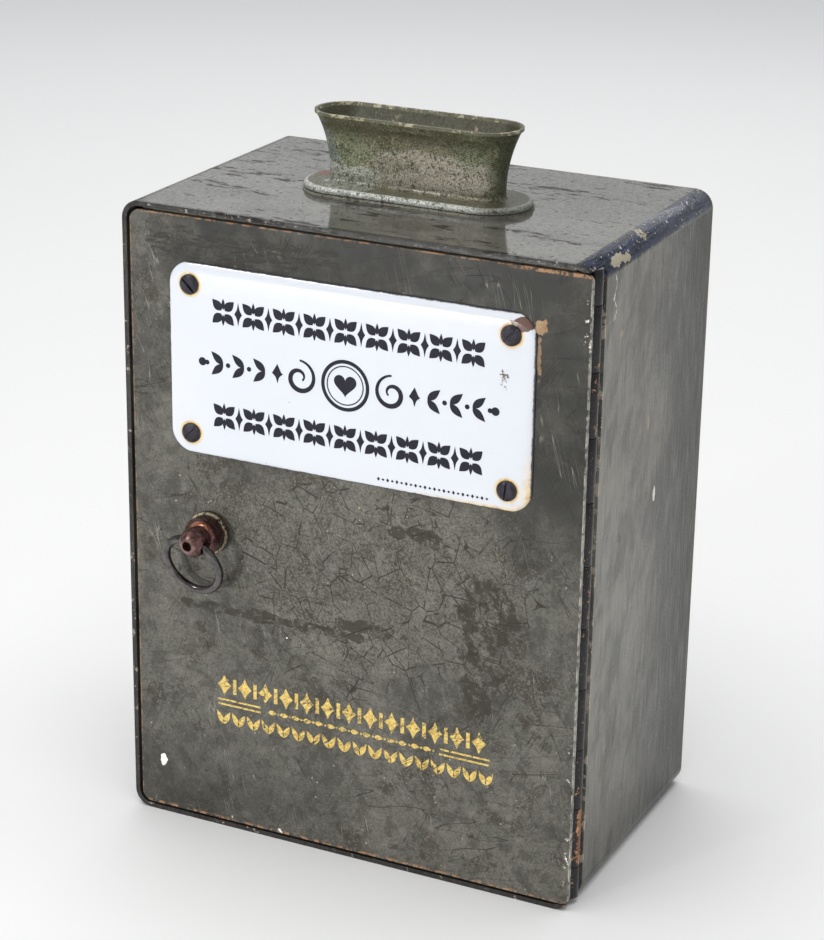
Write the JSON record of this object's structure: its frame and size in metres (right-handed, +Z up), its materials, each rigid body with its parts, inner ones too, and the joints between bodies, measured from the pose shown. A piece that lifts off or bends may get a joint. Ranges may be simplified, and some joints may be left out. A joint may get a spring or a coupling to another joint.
{
  "type": "donation box",
  "caption": "Upright sheet-steel donation box with a flared coin mouth on top, an enamel plate on a side-hinged front door and a small turn knob with a pull ring.",
  "frame": {"origin": "centre of the case's flat base", "axes": "+Z up, -Y is the front with the door, +X is the hinge side"},
  "size_m": [0.2, 0.1451, 0.2974],
  "materials": {
    "paint": "old dark olive-grey gloss paint, scratched and crazed",
    "enamel": "glossy white vitreous enamel on steel, chipped and rusted at its corners",
    "mouth": "cast brass with a dull olive and verdigris skin",
    "knob": "purple-brown tarnished bronze, worn to copper on the collar",
    "brass": "dark tarnished brass",
    "ring": "dark oiled steel wire",
    "screws": "blackened steel",
    "hinge": "painted steel, rubbed to brown metal on the knuckles",
    "lock": "black japanned steel",
    "steel": "dull bare steel"
  },
  "bodies": {
    "case": {"case_shell": "paint", "back_panel": "paint", "door_stop_top": "paint", "door_stop_left": "paint", "door_stop_bottom": "paint", "strike_plate": "steel", "strike_rivets": "steel", "hinge_case_leaf": "hinge", "case_leaf_rivets": "steel", "hinge_pin": "steel", "coin_mouth": "mouth", "mouth_studs": "steel", "mouth_nuts": "steel", "coin_chute": "steel", "chute_baffle": "steel", "baffle_rivets": "steel"},
    "door": {"door_panel": "paint", "door_frame": "paint", "hinge_door_leaf": "hinge", "door_leaf_rivets": "steel", "name_plate": "enamel", "plate_screws": "screws", "plate_nuts": "steel", "escutcheon": "brass", "escutcheon_nut": "brass", "lock_case": "lock", "lock_cover": "lock", "cover_screws": "screws", "guide_stud": "steel", "bolt_spring": "steel"},
    "knob": {"knob": "knob", "knob_pin": "steel", "spindle": "steel"},
    "ring": {"pull_ring": "ring"},
    "bolt": {"lock_bolt": "steel"}
  },
  "joints": [
    {"name": "door_swing", "type": "hinge", "parent": "case", "child": "door", "pos_m": [0.097, -0.0543, 0.1327], "axis": [0, 0, 1], "range_deg": [0, 120]},
    {"name": "knob_turn", "type": "hinge", "parent": "door", "child": "knob", "pos_m": [-0.0615, -0.066, 0.1324], "axis": [0, -1, 0], "range_deg": [0, 90]},
    {"name": "ring_swing", "type": "hinge", "parent": "knob", "child": "ring", "pos_m": [-0.0615, -0.0765, 0.1324], "axis": [-0.9703, 0, 0.2419], "range_deg": [-10, 225]},
    {"name": "bolt_slide", "type": "slide", "parent": "door", "child": "bolt", "axis": [-1, 0, 0], "range_m": [0, 0.00622]}
  ],
  "couplings": [
    {"joint": "knob_turn", "follows": "bolt_slide", "rad_per_m": 252.4}
  ]
}
